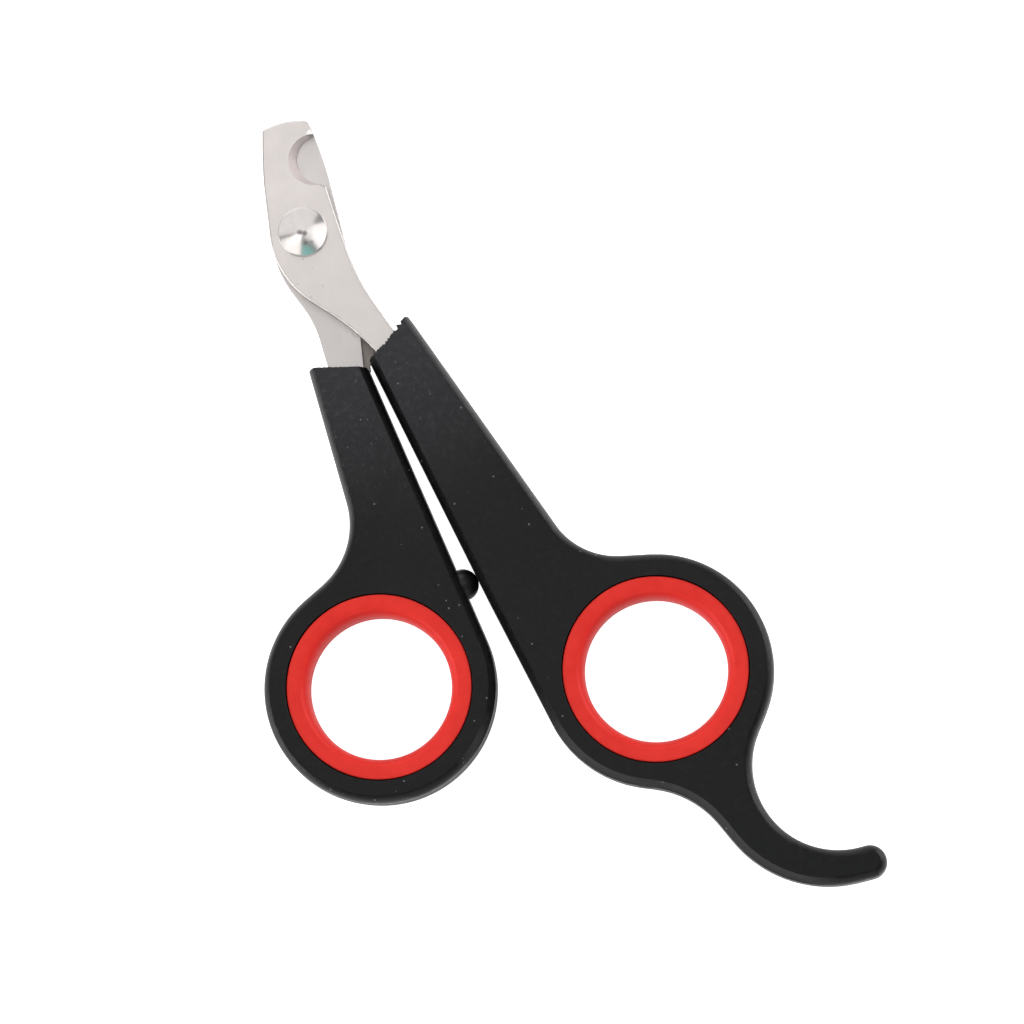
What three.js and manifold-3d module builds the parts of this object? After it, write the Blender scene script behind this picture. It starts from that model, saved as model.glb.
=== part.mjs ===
// Scissor nail clipper for small pets, lying closed. Millimetres, +Z up.
// The rivet's axis is Z through the origin, the jaws point along +Y and the handles along -Y, and the
// underside of the handles and of the rivet is the plane z = 0.
import * as THREE from "three";
import { mergeVertices } from "three/addons/utils/BufferGeometryUtils.js";
import Module from "manifold-3d";

const wasm = await Module();
wasm.setup();

// ---------------------------------------------------------------- driving dimensions

const handleThickness = 7.0;
const edgeWidth = 1.1;
const edgeHeight = 1.2;
const draft = 0.1;
const endTrim = 1.6;

const bladeThickness = 1.8;
const runningGap = 0.05;
const bladeBevel = 0.25;
const tangClearance = 0.12;
const tangHoleRadius = 1.0;
const notchLand = 0.25;
const heelHeight = 0.9;

const insertRadius = 12.75;
const fingerHoleRadius = 9.85;
const insertRecess = 0.15;
const insertClearance = 0.15;
const topRoll = { depth: 1.15, height: 2.6 };
const undersideRoll = { depth: 1.15, height: 1.9 };
const rib = { depth: 0.7, halfWidth: 0.9, slope: 0.3, clearance: 0.15 };

const shankRadius = 2.0;
const boreClearance = 0.1;
const headRadius = 3.44;
const headHeight = 0.95;
const headRim = 0.3;
const headRound = 0.25;
const tailRadius = 2.8;
const tailChamfer = 0.35;
const washerRadius = 3.7;
const washerThickness = 0.5;
const washerChamfer = 0.15;

const bumperRadius = 2.2;
const bumperStemRadius = 0.9;
const bumperStemLength = 4.2;
const bumperShoulder = 1.0;
const bumperClearance = 0.15;

const arcStep = THREE.MathUtils.degToRad(8);
const turnedSegments = 56;
const smallSegments = 40;
const bumperSegments = 28;
const postSegments = 20;

// Heights: both blades meet at the shear plane, half way up the handles.
const shearPlane = handleThickness / 2;
const upperTop = shearPlane + bladeThickness;
const lowerTop = shearPlane - runningGap;
const lowerBottom = shearPlane - bladeThickness;
const heelTop = lowerBottom + heelHeight;

// Centres, seen from above.
const longRing = [18.7, -76.56];
const shortRing = [-16.7, -62.7];
const bumperCentre = [-0.44, -54.42];
const hookCentre = [35.63, -98.75];

// The jaws are mirror images of each other about this line.
const jawAxis = { x: 0.18, y: -0.5, heading: THREE.MathUtils.degToRad(76.1) };

// The ground bevel of a notch: its cutting edge lies at the shear plane, its wide end at the outer face.
const notchEdge = [6.55, 8.78, 3.46];
const notchMouth = [5.92, 8.85, 3.7];

// ---------------------------------------------------------------- outlines

// An outline is a belt that runs anticlockwise round circles [x, y, r], straight from one to the next.
// r is negative where the outline is hollow, and 0 at a sharp corner.

const jaw = [
  [5.1, 4.45, 0.5],
  [notchEdge[0], notchEdge[1], -notchEdge[2]],
  [7.15, 12.28, 0],
  [5.93, 13.55, 1.25],
  [2.4, 7.8, 7.95],
  [1.2, 15.2, 0.6],
  [29.2, -1.6, 33],
];

const upperBladeOutline = [
  ...jaw,
  [7.8, -2.42, 12.85],
  [-25.97, -27.89, -29.3],
  [6.7, -47.5, 1.5],
  [9.8, -47.9, 1.5],
  [36.03, -7.9, -31.6],
];

const lowerBladeOutline = [
  ...mirrored(jaw),
  [10.75, -3.65, 16.05],
  [-20.1, -12.5, -16.0],
  [-6.3, -40.2, 1.5],
  [-4.8, -40, 1.5],
  [2, -23.4, -3.0],
  [-4.03, -6.73, 8.0],
];

// A low shoulder that fills the corner between the lower blade and the handles.
const heelOutline = [
  [-1.9, -15.5, 0],
  [-1.9, -20.45, 0],
  [0.4, -21.49, 0],
  [0.65, -20.65, 0],
  [2.8, -19.65, 0],
  [3.0, -18.0, 0],
  [1.3, -14.5, 0],
];

const longHandleOutline = [
  [7.14, -17.19, 1.3],
  [2.03, -19.68, 1.3],
  [41.77, -56.6, 40],
  [18.74, -76.67, 16.13],
  [4.16, -102.85, -13.8],
  [34.59, -97.95, 16.9],
  [33.96, -112.6, 2.38],
  [...hookCentre, -11.55],
  [18.74, -76.67, 16.13],
  [24.9, -50.65, -10.3],
];

const shortHandleOutline = [
  [-0.98, -20.53, 1.3],
  [-6.15, -18.23, 1.3],
  [-21.27, -35.85, -11.0],
  [-16.68, -62.73, 16.1],
];

// Moulding runs through these holes and locks each tang in its handle.
const upperTangHoles = [[5.8, -31.5], [7.4, -42.5]];
const lowerTangHoles = [[-4.1, -28.5], [-5.2, -37]];

function mirrored(circles) {
  const along = [Math.cos(jawAxis.heading), Math.sin(jawAxis.heading)];
  const reflected = circles.map(([x, y, r]) => {
    const dx = x - jawAxis.x;
    const dy = y - jawAxis.y;
    const run = dx * along[0] + dy * along[1];
    return [jawAxis.x + 2 * run * along[0] - dx, jawAxis.y + 2 * run * along[1] - dy, r];
  });
  return reflected.reverse();
}

function leftOf(heading) {
  return [-Math.sin(heading), Math.cos(heading)];
}

function turnFrom(before, after, r) {
  const turn = THREE.MathUtils.euclideanModulo(after - before, 2 * Math.PI);
  return r < 0 ? turn - 2 * Math.PI : turn;
}

// The outline's points, moved inwards by inset. Every inset gives the same number of points.
function belt(circles, inset = 0) {
  const headings = circles.map(([x, y, r], i) => {
    const [nextX, nextY, nextR] = circles[(i + 1) % circles.length];
    const distance = Math.hypot(nextX - x, nextY - y);
    if (distance < Math.abs(nextR - r)) {
      throw new Error(`no tangent from circle ${i}: ${distance} < ${Math.abs(nextR - r)}`);
    }
    return Math.atan2(nextY - y, nextX - x) - Math.asin((nextR - r) / distance);
  });
  return circles.flatMap(([x, y, r], i) => {
    const before = headings.at(i - 1);
    const after = headings[i];
    if (r === 0) {
      return [mitre(x, y, leftOf(before), leftOf(after), inset)];
    }
    const turn = turnFrom(before, after, r);
    const steps = Math.max(1, Math.round(Math.abs(turn) / arcStep));
    return Array.from({ length: steps + 1 }, (_, k) => {
      const [nx, ny] = leftOf(before + (turn * k) / steps);
      return new THREE.Vector2(x - (r - inset) * nx, y - (r - inset) * ny);
    });
  });
}

function mitre(x, y, [ax, ay], [bx, by], inset) {
  const reach = inset / (1 + ax * bx + ay * by);
  return new THREE.Vector2(x + reach * (ax + bx), y + reach * (ay + by));
}

// ---------------------------------------------------------------- solids

// A closed body through rings of equal length, from the lowest ring to the highest.
function loft(rings) {
  const count = rings[0].length;
  const positions = rings.flat().flatMap((p) => [p.x, p.y, p.z]);
  const index = [];
  for (let level = 0; level + 1 < rings.length; level += 1) {
    for (let i = 0; i < count; i += 1) {
      const a = level * count + i;
      const b = level * count + ((i + 1) % count);
      index.push(a, b, b + count, a, b + count, a + count);
    }
  }
  const flat = (ring) => ring.map((p) => new THREE.Vector2(p.x, p.y));
  const top = (rings.length - 1) * count;
  for (const [a, b, c] of THREE.ShapeUtils.triangulateShape(flat(rings[0]), [])) {
    index.push(c, b, a);
  }
  for (const [a, b, c] of THREE.ShapeUtils.triangulateShape(flat(rings.at(-1)), [])) {
    index.push(top + a, top + b, top + c);
  }
  const geometry = new THREE.BufferGeometry();
  geometry.setAttribute("position", new THREE.Float32BufferAttribute(positions, 3));
  geometry.setIndex(index);
  return geometry;
}

// A plate with the belt's outline. stations are [z, inset], from the bottom face to the top face.
function plate(circles, stations) {
  const lift = (z, points) => points.map((p) => new THREE.Vector3(p.x, p.y, z));
  return loft(stations.map(([z, inset]) => lift(z, belt(circles, inset))));
}

// A body turned about Z at (x, y). The profile is [radius, z] pairs, anticlockwise with z up.
function turned(profile, [x, y], segments) {
  const points = profile.map(([radius, z]) => new THREE.Vector2(radius, z));
  const geometry = new THREE.LatheGeometry(points, segments);
  geometry.rotateX(Math.PI / 2);
  geometry.translate(x, y, 0);
  return geometry;
}

function rod(radius, low, high, centre, segments = smallSegments) {
  return turned([[0, low], [radius, low], [radius, high], [0, high]], centre, segments);
}

function toManifold(geometry) {
  const bare = geometry.clone();
  bare.deleteAttribute("normal");
  bare.deleteAttribute("uv");
  const merged = mergeVertices(bare, 1e-4);
  return new wasm.Manifold(new wasm.Mesh({
    numProp: 3,
    vertProperties: new Float32Array(merged.attributes.position.array),
    triVerts: new Uint32Array(merged.index.array),
  }));
}

function toGeometry(manifold) {
  const mesh = manifold.getMesh();
  const geometry = new THREE.BufferGeometry();
  geometry.setAttribute("position", new THREE.BufferAttribute(mesh.vertProperties, 3));
  geometry.setIndex(new THREE.BufferAttribute(mesh.triVerts, 1));
  return geometry;
}

function cut(geometry, cutters) {
  const solids = cutters.map(toManifold);
  return toGeometry(solids.reduce((body, cutter) => body.subtract(cutter), toManifold(geometry)));
}

function joined(first, second) {
  return toGeometry(toManifold(first).add(toManifold(second)));
}

// ---------------------------------------------------------------- blades

// The cone that grinds a notch's bevel, carried on past both faces of its blade.
function notchCone([edge], [mouth], edgeZ, mouthZ) {
  const overrun = 0.3;
  const ringAt = (t) => {
    const [x, y, r] = edge.map((value, i) => THREE.MathUtils.lerp(value, mouth[i], t));
    const z = THREE.MathUtils.lerp(edgeZ, mouthZ, t);
    return Array.from({ length: smallSegments }, (_, k) => {
      const angle = (2 * Math.PI * k) / smallSegments;
      return new THREE.Vector3(x + r * Math.cos(angle), y + r * Math.sin(angle), z);
    });
  };
  const rings = [ringAt(-overrun), ringAt(1 + overrun)];
  return loft(mouthZ > edgeZ ? rings : rings.reverse());
}

function tangCutters(holes, radius, low, high) {
  return holes.map((hole) => rod(radius, low, high, hole, postSegments));
}

function upperBlade() {
  const stations = [[shearPlane, 0], [upperTop - bladeBevel, 0], [upperTop, bladeBevel]];
  return cut(plate(upperBladeOutline, stations), [
    notchCone([notchEdge], [notchMouth], shearPlane + notchLand, upperTop),
    rod(shankRadius + boreClearance / 2, shearPlane - 1, upperTop + 1, [0, 0]),
    ...tangCutters(upperTangHoles, tangHoleRadius, shearPlane - 1, upperTop + 1),
  ]);
}

function lowerBlade() {
  const stations = [[lowerBottom, bladeBevel], [lowerBottom + bladeBevel, 0], [lowerTop, 0]];
  const heel = plate(heelOutline, [[lowerBottom, bladeBevel], [lowerBottom + bladeBevel, 0], [heelTop, 0]]);
  return cut(joined(plate(lowerBladeOutline, stations), heel), [
    notchCone(mirrored([notchEdge]), mirrored([notchMouth]), lowerTop - notchLand, lowerBottom),
    rod(shankRadius + boreClearance, lowerBottom - 1, lowerTop + 1, [0, 0]),
    ...tangCutters(lowerTangHoles, tangHoleRadius, lowerBottom - 1, lowerTop + 1),
  ]);
}

// ---------------------------------------------------------------- pivot

function rivet() {
  const tailTop = lowerBottom - runningGap - washerThickness;
  return turned([
    [0, 0],
    [tailRadius - tailChamfer, 0],
    [tailRadius, tailChamfer],
    [tailRadius, tailTop],
    [shankRadius, tailTop],
    [shankRadius, upperTop],
    [headRadius, upperTop],
    [headRadius, upperTop + headRim],
    [headRadius - headRound, upperTop + headRim + headRound / 2],
    [0, upperTop + headHeight],
  ], [0, 0], smallSegments);
}

function washer() {
  const high = lowerBottom - runningGap;
  const low = high - washerThickness;
  const bore = shankRadius + boreClearance / 2;
  return turned([
    [bore, low],
    [washerRadius - washerChamfer, low],
    [washerRadius, low + washerChamfer],
    [washerRadius, high],
    [bore, high],
    [bore, low],
  ], [0, 0], smallSegments);
}

// ---------------------------------------------------------------- handles

// Rounded edge from the flat face down to the drafted side wall, as [z, inset] stations.
function handleStations() {
  const rounding = [0, 30, 60, 90].map((degrees) => {
    const angle = THREE.MathUtils.degToRad(degrees);
    const inset = draft + (edgeWidth - draft) * (1 - Math.sin(angle));
    return [edgeHeight * (1 - Math.cos(angle)), inset];
  });
  const upper = rounding.map(([z, inset]) => [handleThickness - z, inset]).reverse();
  return [...rounding, [shearPlane, 0], ...upper];
}

// The end face is a plane across the outline's first straight, endTrim inside it.
function endCutter(circles) {
  const depth = 10;
  const [from, to] = circles;
  const middle = [(from[0] + to[0]) / 2, (from[1] + to[1]) / 2];
  const heading = Math.atan2(to[1] - from[1], to[0] - from[0]);
  const [nx, ny] = leftOf(heading);
  const geometry = new THREE.BoxGeometry(30, depth, 3 * handleThickness);
  const reach = depth / 2 - endTrim + from[2];
  geometry.rotateZ(heading);
  geometry.translate(middle[0] - reach * nx, middle[1] - reach * ny, shearPlane);
  return geometry;
}

// The rib half way up a finger ring's pocket, or with a clearance the insert's groove for it.
function ribProfile(radius, clearance) {
  const crest = rib.halfWidth + clearance;
  const foot = crest + rib.slope + clearance;
  return [
    [radius, shearPlane - foot],
    [radius - rib.depth, shearPlane - crest],
    [radius - rib.depth, shearPlane + crest],
    [radius, shearPlane + foot],
  ];
}

// The finger ring's pocket, with the rib that holds the insert.
function insertPocket(centre) {
  const radius = insertRadius + insertClearance;
  const over = 1;
  return turned([
    [0, -over],
    [radius, -over],
    ...ribProfile(radius, 0),
    [radius, handleThickness + over],
    [0, handleThickness + over],
  ], centre, turnedSegments);
}

// The pocket round a tang, less the posts of moulding through the tang's holes.
function tangPocket(outline, holes, low, high) {
  const stations = [[low - tangClearance, -tangClearance], [high + tangClearance, -tangClearance]];
  const posts = tangCutters(holes, tangHoleRadius - tangClearance, low - 1, high + 1);
  return cut(plate(outline, stations), posts);
}

function longHandle() {
  return cut(plate(longHandleOutline, handleStations()), [
    endCutter(longHandleOutline),
    insertPocket(longRing),
    tangPocket(upperBladeOutline, upperTangHoles, shearPlane, upperTop),
  ]);
}

function shortHandle() {
  const seat = alongX(bumperProfile(bumperClearance));
  return cut(plate(shortHandleOutline, handleStations()), [
    endCutter(shortHandleOutline),
    insertPocket(shortRing),
    tangPocket(lowerBladeOutline, lowerTangHoles, lowerBottom, lowerTop),
    seat,
  ]);
}

// A roll from the bore out to a flat face at z: it leaves the bore height away from the face.
function rollProfile({ depth, height }, z, towardsBore) {
  return [0, 30, 60, 90].map((degrees) => {
    const angle = THREE.MathUtils.degToRad(degrees);
    return [fingerHoleRadius + depth * (1 - Math.cos(angle)), z + towardsBore * height * (1 - Math.sin(angle))];
  });
}

// A soft ring that lines a finger hole: flat faces, rolled bore, and a groove for the pocket's rib.
function ringInsert(centre) {
  const low = insertRecess;
  const high = handleThickness - insertRecess;
  const profile = [
    ...rollProfile(undersideRoll, low, 1),
    [insertRadius, low],
    ...ribProfile(insertRadius, rib.clearance),
    [insertRadius, high],
    ...rollProfile(topRoll, high, -1).reverse(),
  ];
  return turned([...profile, profile[0]], centre, turnedSegments);
}

// ---------------------------------------------------------------- bumper

// A domed stop button with a stem, as [radius, distance along the stem's axis].
function bumperProfile(clearance) {
  const radius = bumperRadius + clearance;
  const stem = bumperStemRadius + clearance;
  const back = -bumperShoulder - clearance;
  const dome = [0, 18, 36, 54, 72, 90].map((degrees) => {
    const angle = THREE.MathUtils.degToRad(degrees);
    return [radius * Math.cos(angle), radius * Math.sin(angle)];
  });
  dome.at(-1)[0] = 0;
  return [
    [0, -bumperStemLength - clearance],
    [stem, -bumperStemLength - clearance],
    [stem, back],
    [radius, back],
    ...dome,
  ];
}

function alongX(profile) {
  const geometry = turned(profile, [0, 0], bumperSegments);
  geometry.rotateY(Math.PI / 2);
  geometry.translate(bumperCentre[0], bumperCentre[1], shearPlane);
  return geometry;
}

// ---------------------------------------------------------------- assembly

const steel = { color: 0xd8d2cd, roughness: 0.32, metalness: 0.9 };
const lowerSteel = { color: 0xccc8c3, roughness: 0.36, metalness: 0.9 };
const polishedSteel = { color: 0xe6e2df, roughness: 0.12, metalness: 1.0 };
const blackPlastic = { color: 0x26272a, roughness: 0.6, metalness: 0.0 };
const redRubber = { color: 0xe2352b, roughness: 0.55, metalness: 0.0 };
const blackRubber = { color: 0x18191b, roughness: 0.5, metalness: 0.0 };

function part(name, geometry, finish) {
  const mesh = new THREE.Mesh(geometry, new THREE.MeshStandardMaterial(finish));
  mesh.name = name;
  return mesh;
}

const clipper = new THREE.Group();

const fixedHalf = new THREE.Group();
fixedHalf.add(
  part("upper_blade", upperBlade(), steel),
  part("pivot_rivet", rivet(), polishedSteel),
  part("pivot_washer", washer(), polishedSteel),
  part("long_handle", longHandle(), blackPlastic),
  part("long_ring_insert", ringInsert(longRing), redRubber),
);

const swingingHalf = new THREE.Group();
swingingHalf.add(
  part("lower_blade", lowerBlade(), lowerSteel),
  part("short_handle", shortHandle(), blackPlastic),
  part("short_ring_insert", ringInsert(shortRing), redRubber),
  part("bumper", alongX(bumperProfile(0)), blackRubber),
);

clipper.add(fixedHalf, swingingHalf);

export default clipper;
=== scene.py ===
import math

import bmesh
import bpy
import numpy as np
from mathutils import Matrix, Vector

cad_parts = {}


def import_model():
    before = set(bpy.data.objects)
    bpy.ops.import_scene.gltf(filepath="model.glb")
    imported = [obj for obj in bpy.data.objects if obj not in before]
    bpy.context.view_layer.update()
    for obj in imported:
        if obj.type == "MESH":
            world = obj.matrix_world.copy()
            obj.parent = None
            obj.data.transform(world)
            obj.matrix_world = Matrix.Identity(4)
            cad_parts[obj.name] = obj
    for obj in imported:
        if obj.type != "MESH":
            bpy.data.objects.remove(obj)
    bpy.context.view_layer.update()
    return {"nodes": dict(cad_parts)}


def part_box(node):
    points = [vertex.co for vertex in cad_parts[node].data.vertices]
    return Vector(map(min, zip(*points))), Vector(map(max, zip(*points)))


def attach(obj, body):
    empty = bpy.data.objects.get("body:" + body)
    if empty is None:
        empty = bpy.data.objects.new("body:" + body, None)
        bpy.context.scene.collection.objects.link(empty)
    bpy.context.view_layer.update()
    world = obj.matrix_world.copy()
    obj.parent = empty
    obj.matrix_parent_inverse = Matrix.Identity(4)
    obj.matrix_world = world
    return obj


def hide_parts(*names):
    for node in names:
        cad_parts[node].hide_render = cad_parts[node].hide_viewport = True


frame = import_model()

MM = 0.001
TO_MM = 1 / MM
SMOOTH_ANGLE = 32

# Heights that the blades and handles share.
HANDLE_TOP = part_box("long_handle")[1].z
MID_PLANE = HANDLE_TOP / 2
UPPER_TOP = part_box("upper_blade")[1].z
SHEAR_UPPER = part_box("upper_blade")[0].z
SHEAR_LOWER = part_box("lower_blade")[1].z
LOWER_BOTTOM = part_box("lower_blade")[0].z


# ---------------------------------------------------------------- outlines

# Vertices closer than SNAP are one. A turn above CORNER is sharp, and smaller ones are parts of an arc,
# which smoothed() divides into steps of ARC_STEP. A straight is STRAIGHT_RATIO times its neighbour.
SNAP = 1e-7
CORNER = math.radians(28)
ARC_STEP = math.radians(2.2)
STRAIGHT_RATIO = 2.5
MITRE_LIMIT = 0.5


def unit(angle):
    return np.array((math.cos(angle), math.sin(angle)))


def wrapped(angle):
    return (angle + math.pi) % (2 * math.pi) - math.pi


def area(points):
    """Signed area of a loop, positive if it runs anticlockwise."""
    x, y = points.T
    return 0.5 * float(np.sum(x * np.roll(y, -1) - y * np.roll(x, -1)))


def headings(points):
    """Heading and length of each side of a loop."""
    step = np.roll(points, -1, axis=0) - points
    return np.arctan2(step[:, 1], step[:, 0]), np.hypot(step[:, 0], step[:, 1])


def face_loops(node, height):
    """Boundary loops of a node's flat face at a height, anticlockwise (n, 2) arrays, largest first."""
    mesh = frame["nodes"][node].data
    known, ids, places = {}, [], {}
    for vertex in mesh.vertices:
        key = tuple(round(c / SNAP) for c in vertex.co)
        ids.append(known.setdefault(key, len(known)))
        places[ids[-1]] = vertex.co
    edges = set()
    for polygon in mesh.polygons:
        corners = [ids[v] for v in polygon.vertices]
        if any(abs(places[c].z - height) > 2 * SNAP for c in corners):
            continue
        for a, b in zip(corners, corners[1:] + corners[:1]):
            if (b, a) in edges:
                edges.remove((b, a))
            else:
                edges.add((a, b))
    after = dict(edges)
    loops = []
    while after:
        start, here = after.popitem()
        loop = [start]
        while here != start:
            loop.append(here)
            here = after.pop(here)
        points = np.array([places[i][:2] for i in loop], float)
        loops.append(points if area(points) > 0 else points[::-1])
    return sorted(loops, key=area, reverse=True)


def tidy_loop(points, shortest=0.004 * MM):
    """The loop without points that nearly repeat the one before."""
    keep = headings(np.roll(points, 1, axis=0))[1] > shortest
    return points[keep]


def smoothed(points):
    """The loop with its arcs subdivided. Straights and sharp corners stay as they are.

    Each side becomes a cubic. Where two sides meet, the curve's direction is that of a circle through
    both. A side much longer than its neighbour is a straight, and there the curve follows it.
    """
    points = tidy_loop(points)
    heading, length = headings(points)
    turn = wrapped(heading - np.roll(heading, 1))
    before = np.roll(length, 1)
    share = before / (before + length)
    after_straight = before > STRAIGHT_RATIO * length
    before_straight = length > STRAIGHT_RATIO * before
    share = np.where(after_straight, 0.0, np.where(before_straight, 1.0, share))
    leave = wrapped(-turn * (1 - share))
    arrive = np.roll(turn * share, -1)
    from_corner = np.abs(turn) > CORNER
    to_corner = np.roll(from_corner, -1)
    leave = np.where(from_corner, np.where(to_corner, 0, -arrive), leave)
    arrive = np.where(to_corner, np.where(from_corner, 0, -leave), arrive)
    result = []
    for i, start in enumerate(points):
        end = points[(i + 1) % len(points)]
        count = max(1, math.ceil(abs(arrive[i] - leave[i]) / ARC_STEP))
        a = length[i] * unit(heading[i] + leave[i])
        b = length[i] * unit(heading[i] + arrive[i])
        for k in range(count):
            t = k / count
            result.append(
                (2 * t**3 - 3 * t**2 + 1) * start + (t**3 - 2 * t**2 + t) * a
                + (3 * t**2 - 2 * t**3) * end + (t**3 - t**2) * b
            )
    return np.array(result)


def outset(points, distance):
    """The loop moved outwards by distance, with mitred corners."""
    heading, _ = headings(points)
    before = np.roll(heading, 1)
    normal = np.stack((np.sin(heading) + np.sin(before), -np.cos(heading) - np.cos(before)), axis=1)
    scale = 2 / np.maximum(np.sum(normal * normal, axis=1), MITRE_LIMIT)
    return points + distance * normal * scale[:, None]


def distance_to(point, loop):
    """Distance from a point to a closed outline."""
    step = np.roll(loop, -1, axis=0) - loop
    share = np.clip(np.sum((point - loop) * step, axis=1) / np.sum(step * step, axis=1), 0, 1)
    return float(np.hypot(*(point - loop - share[:, None] * step).T).min())


def fitted_circle(points):
    """Least-squares circle through points: x, y, radius."""
    columns = np.column_stack((points, np.ones(len(points))))
    (a, b, c), *_ = np.linalg.lstsq(columns, np.sum(points**2, axis=1), rcond=None)
    return a / 2, b / 2, math.sqrt(c + a * a / 4 + b * b / 4)


# ---------------------------------------------------------------- mesh building

def shade(mesh, smooth_angle):
    """Smooth shading, with a crease where faces meet at more than smooth_angle degrees."""
    mesh.polygons.foreach_set("use_smooth", [True] * len(mesh.polygons))
    mesh.set_sharp_from_angle(angle=math.radians(smooth_angle))


def new_piece(name, bm, smooth_angle=SMOOTH_ANGLE):
    mesh = bpy.data.meshes.new(name)
    bmesh.ops.recalc_face_normals(bm, faces=bm.faces)
    bm.to_mesh(mesh)
    bm.free()
    shade(mesh, smooth_angle)
    piece = bpy.data.objects.new(name, mesh)
    bpy.context.scene.collection.objects.link(piece)
    return piece


def loft(name, rings):
    """A closed body through rings of equal length, with flat ends."""
    bm = bmesh.new()
    levels = [[bm.verts.new(p) for p in ring] for ring in rings]
    for low, high in zip(levels, levels[1:]):
        for i in range(len(low)):
            j = (i + 1) % len(low)
            bm.faces.new((low[i], low[j], high[j], high[i]))
    bm.faces.new(levels[0][::-1])
    bm.faces.new(levels[-1])
    return new_piece(name, bm)


def plate(name, outline, stations):
    """A body with the outline's shape. stations are (height, outset), from the lowest to the highest."""
    rings = []
    for height, distance in stations:
        rings.append([(x, y, height) for x, y in outset(outline, distance)])
    return loft(name, rings)


def turned(name, profile, centre, segments=144, smooth_angle=SMOOTH_ANGLE):
    """A body turned about a vertical axis. The profile is (radius, height) pairs; 0 is on the axis."""
    bm = bmesh.new()
    rings = []
    for radius, height in profile:
        if radius == 0:
            rings.append([bm.verts.new((*centre, height))] * segments)
            continue
        ring = []
        for k in range(segments):
            x, y = radius * unit(2 * math.pi * k / segments)
            ring.append(bm.verts.new((centre[0] + x, centre[1] + y, height)))
        rings.append(ring)
    has_bore = profile[0][0] > 0
    following = rings[1:] + rings[:1] if has_bore else rings[1:]
    for low, high in zip(rings, following):
        for i in range(segments):
            j = (i + 1) % segments
            corners = dict.fromkeys((low[i], low[j], high[j], high[i]))
            bm.faces.new(list(corners))
    return new_piece(name, bm, smooth_angle)


def arc(steps, degrees=90):
    """Cosine and sine of an angle that goes from 0 to degrees in equal steps, both ends included."""
    for k in range(steps + 1):
        angle = math.radians(degrees) * k / steps
        yield math.cos(angle), math.sin(angle)


def combine(piece, others, operation):
    """Cuts the others out of piece or adds them to it. The others are used up."""
    for other in others:
        modifier = piece.modifiers.new("boolean", "BOOLEAN")
        modifier.operation = operation
        modifier.solver = "MANIFOLD"
        modifier.object = other
    graph = bpy.context.evaluated_depsgraph_get()
    piece.data = bpy.data.meshes.new_from_object(piece.evaluated_get(graph))
    piece.modifiers.clear()
    shade(piece.data, SMOOTH_ANGLE)
    for other in others:
        bpy.data.objects.remove(other)


def placed(piece, body, node, slot, *materials):
    """Gives a piece its materials and its body, and hides the CAD node that it stands for."""
    faces = piece.data.polygons
    chosen = [face.material_index for face in faces]
    piece.data.materials.clear()
    for material in materials:
        piece.data.materials.append(material)
    faces.foreach_set("material_index", chosen)
    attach(piece, body)
    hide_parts(node)


# ---------------------------------------------------------------- blades

EDGE_BREAK = 0.03 * MM
FLAT_MARGIN = 0.1 * MM

# The rounded edge round a blade's outer face, and its curve as (height, width) shares.
BEVEL_WIDTH = 0.25 * MM
BEVEL_HEIGHT = 0.22 * MM
BEVEL_CURVE = ((1, 0), (0.55, 0.13), (0.2, 0.45), (0.04, 0.8), (0, 1))

# The notch's ground bevel: a straight land at the cutting edge, then a cone that leans and widens.
HOLLOW_TURN = math.radians(-0.8)
NOTCH_LAND = 0.25 * MM
GRIND_LEAN = 0.78 * MM
GRIND_GROWTH = 0.28 * MM

# The small flat ground across the upper jaw's tip.
FACET_CORNER = (6.70 * MM, 12.95 * MM)
FACET_AZIMUTH = math.radians(-63)
FACET_SLOPE = math.radians(12)
FACET_SIZE = 1.8 * MM

# The lower blade's heel: its height, how far it reaches into the blade, and what is left free below it.
# The heel is a low ledge in dark steel that stands for the shade in the small gap beside the long handle.
HEEL_HEIGHT = 0.9 * MM
HEEL_OVERLAP = 0.6 * MM
HEEL_CLEARANCE = 0.02 * MM
TOUCHING = 0.02 * MM


def notch_circle(outline):
    """The hollow arc that takes the nail: the blade outline's hollow beyond the rivet's head."""
    heading, _ = headings(outline)
    turn = wrapped(heading - np.roll(heading, 1))
    beyond = outline[:, 1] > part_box("pivot_rivet")[1].y + MM
    hollow = outline[beyond & (turn < HOLLOW_TURN)]
    return fitted_circle(hollow)


def notch_cone(outline, edge, face):
    """The grinding cone that bevels a notch. It leans away from the jaw's open side."""
    x, y, radius = notch_circle(outline)
    middle = outline[outline[:, 1] > y - radius].mean(axis=0)
    lean = np.sign(middle[0] - x) * GRIND_LEAN
    start = edge + (NOTCH_LAND if face > edge else -NOTCH_LAND)
    beyond = 0.3
    rings = []
    for t in (-beyond, 1 + beyond):
        height = start + t * (face - start)
        r = radius - EDGE_BREAK + t * GRIND_GROWTH
        centre = np.array((x + t * lean, y))
        angles = np.linspace(0, 2 * math.pi, 120, endpoint=False)
        rings.append([(*(centre + r * unit(a)), height) for a in angles])
    return loft("cutter", rings if face > edge else rings[::-1])


def bevelled(edge, face):
    """Stations from a cutting face at edge to an outer face with a rounded edge at face."""
    up = 1 if face > edge else -1
    stations = [(edge, -EDGE_BREAK - FLAT_MARGIN), (edge, -EDGE_BREAK), (edge + up * EDGE_BREAK, 0)]
    for rise, run in BEVEL_CURVE:
        stations.append((face - up * BEVEL_HEIGHT * rise, -BEVEL_WIDTH * run))
    stations.append((face, -BEVEL_WIDTH - FLAT_MARGIN))
    return stations if up > 0 else stations[::-1]


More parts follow.
